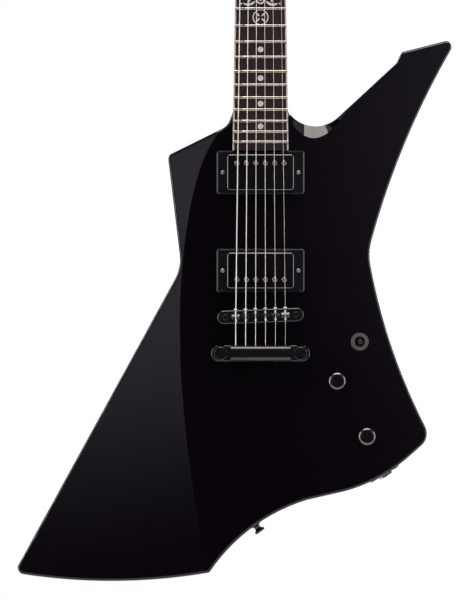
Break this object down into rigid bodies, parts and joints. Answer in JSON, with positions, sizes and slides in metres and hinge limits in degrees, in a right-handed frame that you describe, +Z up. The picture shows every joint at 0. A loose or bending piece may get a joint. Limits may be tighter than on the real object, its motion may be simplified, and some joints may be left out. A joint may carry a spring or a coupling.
{
  "type": "electric guitar",
  "caption": "Solid-body electric guitar with an angular asymmetric body, bevelled arm rest, set neck, humbucking pickups, fixed bridge, stop bar and tilted headstock.",
  "frame": {"origin": "on the centre line where the nut meets the fingerboard, in the plane of the body's front face", "axes": "+X to the treble side (viewer's right from the front), +Y from the front face to the back, +Z up the neck to the headstock"},
  "size_m": [0.4516, 0.0766, 1.0869],
  "materials": {
    "body_lacquer": "gloss black lacquer over wood",
    "neck_lacquer": "gloss black lacquer over wood",
    "dark_rosewood": "oiled dark wood with open pores",
    "ivory_binding": "polished off-white binding",
    "fret_wire": "polished nickel silver",
    "pearl": "pearl, polished flush",
    "bone": "polished bone",
    "bright_steel": "turned steel",
    "black_plastic": "moulded black plastic",
    "black_metal": "black plated metal, satin to gloss",
    "black_nickel": "black nickel plate, polished",
    "warm_nickel": "nickel plate, slightly warm",
    "string_steel": "plain steel and nickel wound wire"
  },
  "bodies": {
    "root": {"body": "body_lacquer", "neck": "neck_lacquer", "fingerboard": "dark_rosewood", "fingerboard_binding": "ivory_binding", "frets": "fret_wire", "position_inlays": "pearl", "nut": "bone", "truss_rod": "bright_steel", "truss_rod_cover": "black_plastic", "control_cover": "black_plastic", "mounting_screws": "black_metal", "control_pots": "bright_steel", "panel_nuts": "warm_nickel", "switch_body": "black_plastic", "jack_plate": "black_metal", "jack_socket": "warm_nickel", "strap_buttons": "black_metal", "bridge_posts": "black_metal", "stud_bushings": "black_metal", "pickup_rings": "black_plastic", "pickup_height_screws": "bright_steel", "pickup_springs": "bright_steel", "strings": "string_steel", "tuner_housings": "black_metal", "tuner_bushings": "black_metal"},
    "bridge": {"bridge_body": "black_metal", "bridge_thumbwheels": "black_metal", "intonation_screws": "bright_steel"},
    "tailpiece": {"tailpiece": "black_metal", "tailpiece_studs": "black_metal"},
    "neck_pickup": {"neck_pickup_cover": "black_nickel", "neck_pickup_core": "black_plastic", "neck_pickup_poles": "warm_nickel"},
    "bridge_pickup": {"bridge_pickup_cover": "black_nickel", "bridge_pickup_core": "black_plastic", "bridge_pickup_poles": "warm_nickel"},
    "volume": {"volume_knob": "black_nickel", "volume_shaft": "bright_steel"},
    "tone": {"tone_knob": "black_nickel", "tone_shaft": "bright_steel"},
    "switch": {"switch_lever": "warm_nickel", "switch_tip": "black_plastic"},
    "saddle_1": {"saddle_1": "black_metal"},
    "tuner_key_1": {"tuner_key_1": "black_metal"},
    "tuner_post_1": {"tuner_post_1": "black_metal"},
    "saddle_2": {"saddle_2": "black_metal"},
    "tuner_key_2": {"tuner_key_2": "black_metal"},
    "tuner_post_2": {"tuner_post_2": "black_metal"},
    "saddle_3": {"saddle_3": "black_metal"},
    "tuner_key_3": {"tuner_key_3": "black_metal"},
    "tuner_post_3": {"tuner_post_3": "black_metal"},
    "saddle_4": {"saddle_4": "black_metal"},
    "tuner_key_4": {"tuner_key_4": "black_metal"},
    "tuner_post_4": {"tuner_post_4": "black_metal"},
    "saddle_5": {"saddle_5": "black_metal"},
    "tuner_key_5": {"tuner_key_5": "black_metal"},
    "tuner_post_5": {"tuner_post_5": "black_metal"},
    "saddle_6": {"saddle_6": "black_metal"},
    "tuner_key_6": {"tuner_key_6": "black_metal"},
    "tuner_post_6": {"tuner_post_6": "black_metal"}
  },
  "joints": [
    {"name": "bridge_height", "type": "slide", "parent": "root", "child": "bridge", "axis": [0, -1, 0], "range_m": [-0.0009, 0.0025], "deforming": ["strings"]},
    {"name": "tailpiece_height", "type": "slide", "parent": "root", "child": "tailpiece", "axis": [0, -1, 0], "range_m": [-0.0018, 0.004], "deforming": ["strings"]},
    {"name": "neck_pickup_height", "type": "slide", "parent": "root", "child": "neck_pickup", "axis": [0, -1, 0], "range_m": [-0.004, 0.0006], "deforming": ["pickup_springs"]},
    {"name": "bridge_pickup_height", "type": "slide", "parent": "root", "child": "bridge_pickup", "axis": [0, -1, 0], "range_m": [-0.004, 0.0006], "deforming": ["pickup_springs"]},
    {"name": "volume_turn", "type": "hinge", "parent": "root", "child": "volume", "pos_m": [0.0793, 0, -0.69994], "axis": [0, -1, 0], "range_deg": [-150, 150]},
    {"name": "tone_turn", "type": "hinge", "parent": "root", "child": "tone", "pos_m": [0.1102, 0, -0.75724], "axis": [0, -1, 0], "range_deg": [-150, 150]},
    {"name": "switch_throw", "type": "hinge", "parent": "root", "child": "switch", "pos_m": [0.103, 0.003, -0.65914], "axis": [1, 0, 0], "range_deg": [-12, 12]},
    {"name": "saddle_1_intonation", "type": "slide", "parent": "bridge", "child": "saddle_1", "axis": [-0.0384, 0, 0.9993], "range_m": [-0.0022, 0.0022]},
    {"name": "saddle_2_intonation", "type": "slide", "parent": "bridge", "child": "saddle_2", "axis": [-0.0384, 0, 0.9993], "range_m": [-0.0022, 0.0022]},
    {"name": "saddle_3_intonation", "type": "slide", "parent": "bridge", "child": "saddle_3", "axis": [-0.0384, 0, 0.9993], "range_m": [-0.0022, 0.0022]},
    {"name": "saddle_4_intonation", "type": "slide", "parent": "bridge", "child": "saddle_4", "axis": [-0.0384, 0, 0.9993], "range_m": [-0.0022, 0.0022]},
    {"name": "saddle_5_intonation", "type": "slide", "parent": "bridge", "child": "saddle_5", "axis": [-0.0384, 0, 0.9993], "range_m": [-0.0022, 0.0022]},
    {"name": "saddle_6_intonation", "type": "slide", "parent": "bridge", "child": "saddle_6", "axis": [-0.0384, 0, 0.9993], "range_m": [-0.0022, 0.0022]},
    {"name": "tuner_key_1_turn", "type": "hinge", "parent": "root", "child": "tuner_key_1", "pos_m": [-0.02264, 0.02523, 0.03836], "axis": [-1, 0, 0], "continuous": true},
    {"name": "tuner_post_1_turn", "type": "hinge", "parent": "root", "child": "tuner_post_1", "pos_m": [-0.02264, 0.00735, 0.04982], "axis": [0, -0.9744, 0.225], "continuous": true},
    {"name": "tuner_key_2_turn", "type": "hinge", "parent": "root", "child": "tuner_key_2", "pos_m": [-0.02089, 0.03445, 0.0783], "axis": [-1, 0, 0], "continuous": true},
    {"name": "tuner_post_2_turn", "type": "hinge", "parent": "root", "child": "tuner_post_2", "pos_m": [-0.02089, 0.01657, 0.08977], "axis": [0, -0.9744, 0.225], "continuous": true},
    {"name": "tuner_key_3_turn", "type": "hinge", "parent": "root", "child": "tuner_key_3", "pos_m": [-0.01913, 0.04367, 0.11825], "axis": [-1, 0, 0], "continuous": true},
    {"name": "tuner_post_3_turn", "type": "hinge", "parent": "root", "child": "tuner_post_3", "pos_m": [-0.01913, 0.02579, 0.12972], "axis": [0, -0.9744, 0.225], "continuous": true},
    {"name": "tuner_key_4_turn", "type": "hinge", "parent": "root", "child": "tuner_key_4", "pos_m": [0.01913, 0.04367, 0.11825], "axis": [1, 0, 0], "continuous": true},
    {"name": "tuner_post_4_turn", "type": "hinge", "parent": "root", "child": "tuner_post_4", "pos_m": [0.01913, 0.02579, 0.12972], "axis": [0, -0.9744, 0.225], "continuous": true},
    {"name": "tuner_key_5_turn", "type": "hinge", "parent": "root", "child": "tuner_key_5", "pos_m": [0.02089, 0.03445, 0.0783], "axis": [1, 0, 0], "continuous": true},
    {"name": "tuner_post_5_turn", "type": "hinge", "parent": "root", "child": "tuner_post_5", "pos_m": [0.02089, 0.01657, 0.08977], "axis": [0, -0.9744, 0.225], "continuous": true},
    {"name": "tuner_key_6_turn", "type": "hinge", "parent": "root", "child": "tuner_key_6", "pos_m": [0.02264, 0.02523, 0.03836], "axis": [1, 0, 0], "continuous": true},
    {"name": "tuner_post_6_turn", "type": "hinge", "parent": "root", "child": "tuner_post_6", "pos_m": [0.02264, 0.00735, 0.04982], "axis": [0, -0.9744, 0.225], "continuous": true}
  ],
  "couplings": [
    {"joint": "tuner_post_1_turn", "follows": "tuner_key_1_turn", "ratio": 0.055556},
    {"joint": "tuner_post_2_turn", "follows": "tuner_key_2_turn", "ratio": 0.055556},
    {"joint": "tuner_post_3_turn", "follows": "tuner_key_3_turn", "ratio": 0.055556},
    {"joint": "tuner_post_4_turn", "follows": "tuner_key_4_turn", "ratio": -0.055556},
    {"joint": "tuner_post_5_turn", "follows": "tuner_key_5_turn", "ratio": -0.055556},
    {"joint": "tuner_post_6_turn", "follows": "tuner_key_6_turn", "ratio": -0.055556}
  ]
}
